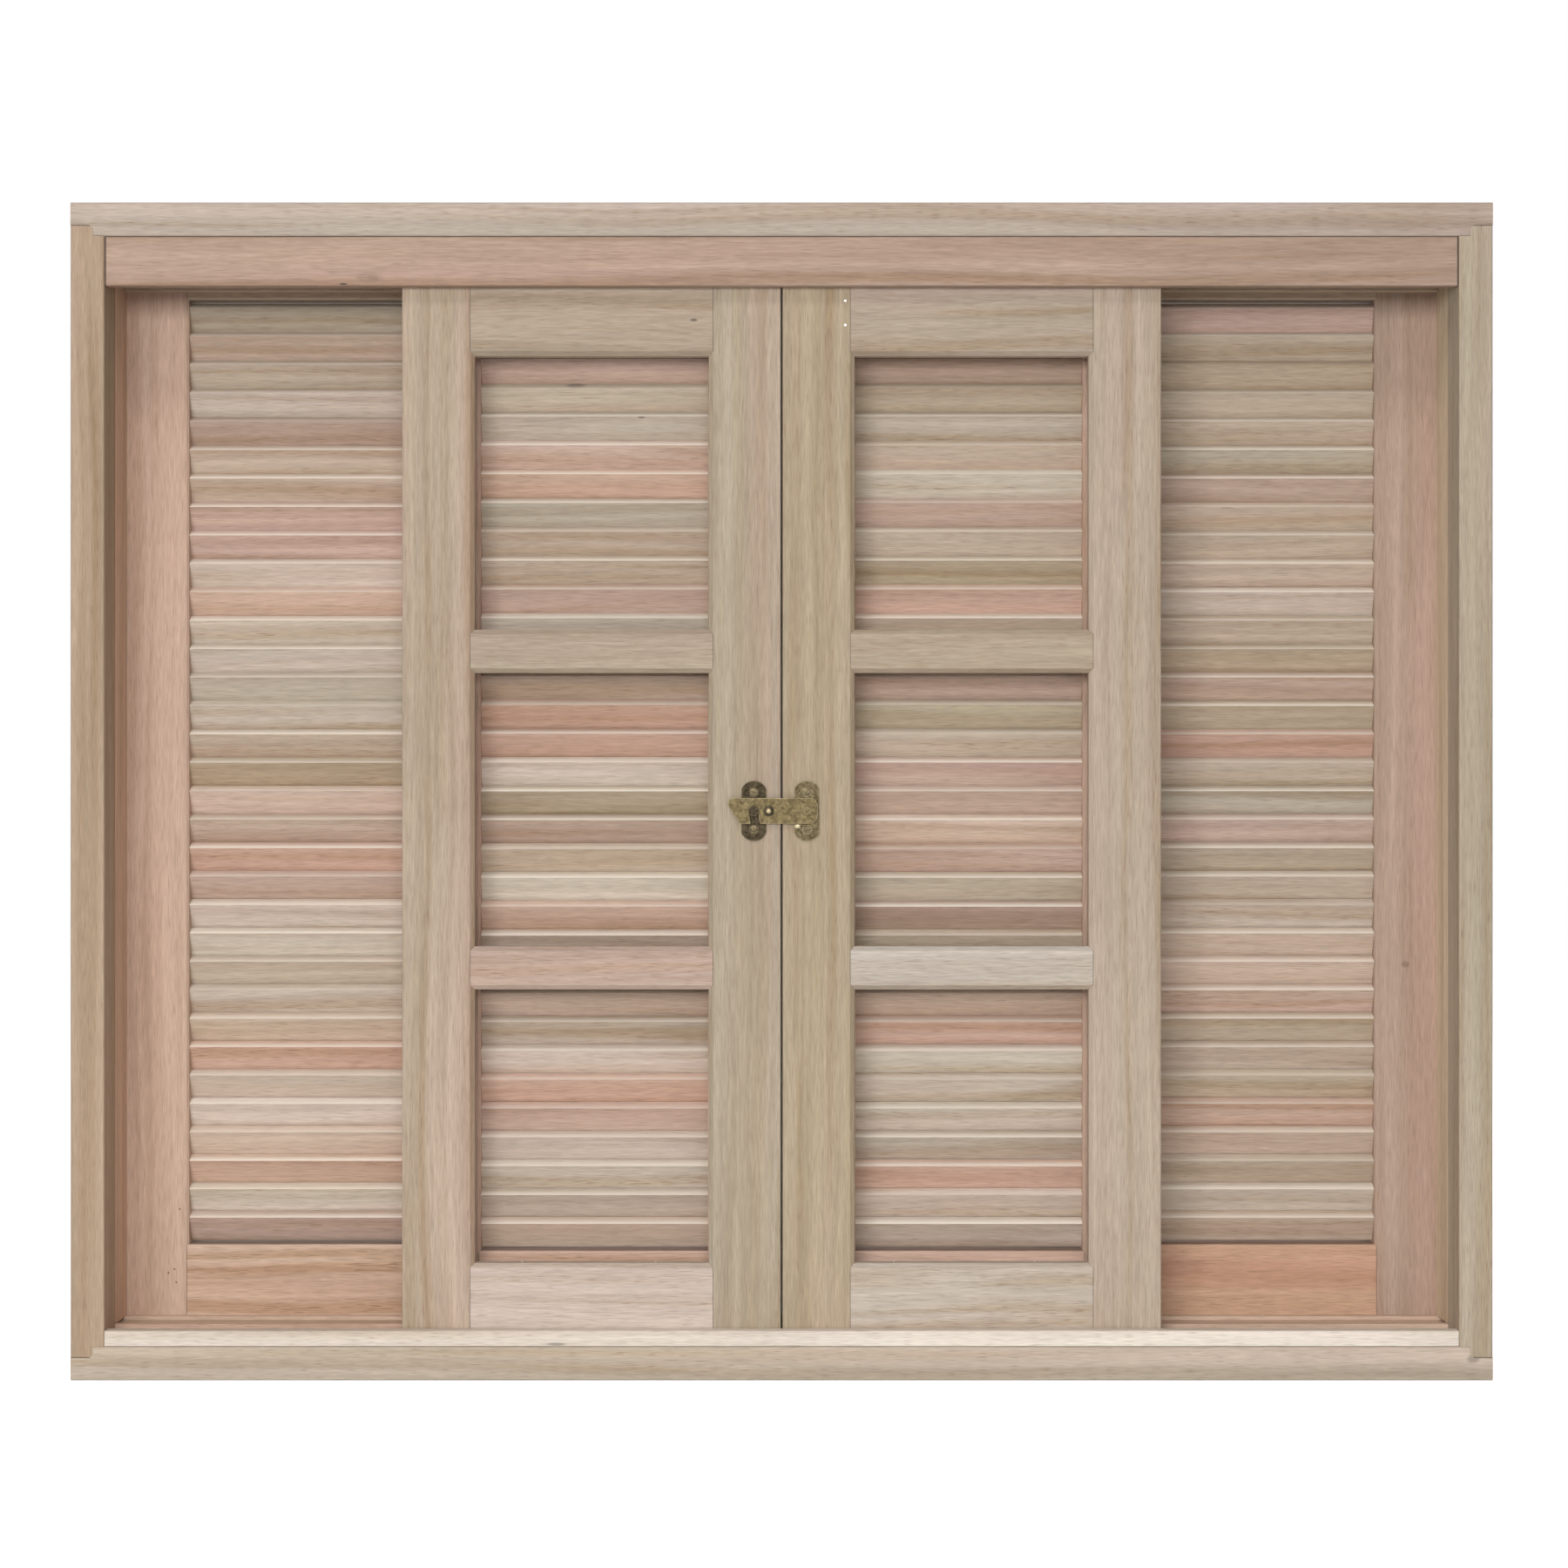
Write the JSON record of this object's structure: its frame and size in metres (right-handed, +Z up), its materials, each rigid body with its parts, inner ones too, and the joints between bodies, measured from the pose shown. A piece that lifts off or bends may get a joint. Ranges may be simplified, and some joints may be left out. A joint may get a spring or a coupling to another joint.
{
  "type": "louvred sliding wooden window",
  "caption": "Wooden window frame with sliding multi-light sashes, sliding louvred shutters behind them, fixed louvred side panels and a lift-over bar latch.",
  "frame": {"origin": "middle of the underside of the sill, midway through the frame's depth", "axes": "+X along the width, to the right as seen from the room; +Y towards the outside; +Z up"},
  "size_m": [1.2, 0.14, 0.994],
  "materials": {
    "tan_wood": "raw planed hardwood, unsealed",
    "pink_wood": "raw planed pink heartwood, unsealed",
    "cream_wood": "raw planed pale sapwood, unsealed",
    "aged_brass": "antiqued brass plating",
    "dark_bronze": "dark antiqued brass plating"
  },
  "bodies": {
    "frame": {"sill": "tan_wood", "head": "tan_wood", "left_jamb": "tan_wood", "right_jamb": "tan_wood", "valance": "pink_wood", "front_guide_bead": "cream_wood", "track_front_strip": "pink_wood", "track_base_strip": "pink_wood", "track_rear_strip": "pink_wood", "head_parting_strip": "tan_wood", "head_rear_strip": "tan_wood", "head_filler_strip": "tan_wood", "sill_filler_strip": "tan_wood", "left_side_stop": "pink_wood", "right_side_stop": "tan_wood", "left_panel_inner_stile": "pink_wood", "left_panel_outer_stile": "pink_wood", "left_panel_bottom_rail": "pink_wood", "left_panel_top_rail": "tan_wood", "left_panel_slats": "cream_wood", "right_panel_inner_stile": "pink_wood", "right_panel_outer_stile": "pink_wood", "right_panel_bottom_rail": "pink_wood", "right_panel_top_rail": "tan_wood", "right_panel_slats": "cream_wood"},
    "left_sash": {"left_sash_inner_stile": "tan_wood", "left_sash_outer_stile": "tan_wood", "left_sash_bottom_rail": "tan_wood", "left_sash_middle_rail_1": "pink_wood", "left_sash_middle_rail_2": "tan_wood", "left_sash_top_rail": "tan_wood", "keeper_plate": "dark_bronze", "keeper_post": "dark_bronze"},
    "right_sash": {"right_sash_inner_stile": "tan_wood", "right_sash_outer_stile": "tan_wood", "right_sash_bottom_rail": "tan_wood", "right_sash_middle_rail_1": "tan_wood", "right_sash_middle_rail_2": "tan_wood", "right_sash_top_rail": "tan_wood", "pivot_plate": "aged_brass", "pivot_rivet": "aged_brass", "stop_peg": "aged_brass"},
    "left_shutter": {"left_shutter_inner_stile": "tan_wood", "left_shutter_outer_stile": "pink_wood", "left_shutter_bottom_rail": "tan_wood", "left_shutter_top_rail": "tan_wood", "left_shutter_slats": "cream_wood"},
    "right_shutter": {"right_shutter_inner_stile": "tan_wood", "right_shutter_outer_stile": "pink_wood", "right_shutter_bottom_rail": "tan_wood", "right_shutter_top_rail": "tan_wood", "right_shutter_slats": "cream_wood"},
    "latch": {"latch_bar": "aged_brass", "latch_knob": "dark_bronze"}
  },
  "joints": [
    {"name": "left_sash_slide", "type": "slide", "parent": "frame", "child": "left_sash", "axis": [-1, 0, 0], "range_m": [0, 0.249]},
    {"name": "right_sash_slide", "type": "slide", "parent": "frame", "child": "right_sash", "axis": [1, 0, 0], "range_m": [0, 0.249]},
    {"name": "left_shutter_slide", "type": "slide", "parent": "frame", "child": "left_shutter", "axis": [-1, 0, 0], "range_m": [0, 0.249]},
    {"name": "right_shutter_slide", "type": "slide", "parent": "frame", "child": "right_shutter", "axis": [1, 0, 0], "range_m": [0, 0.249]},
    {"name": "latch_lift", "type": "hinge", "parent": "right_sash", "child": "latch", "pos_m": [0.0213, -0.0605, 0.4805], "axis": [0, 1, 0], "range_deg": [0, 95]}
  ]
}
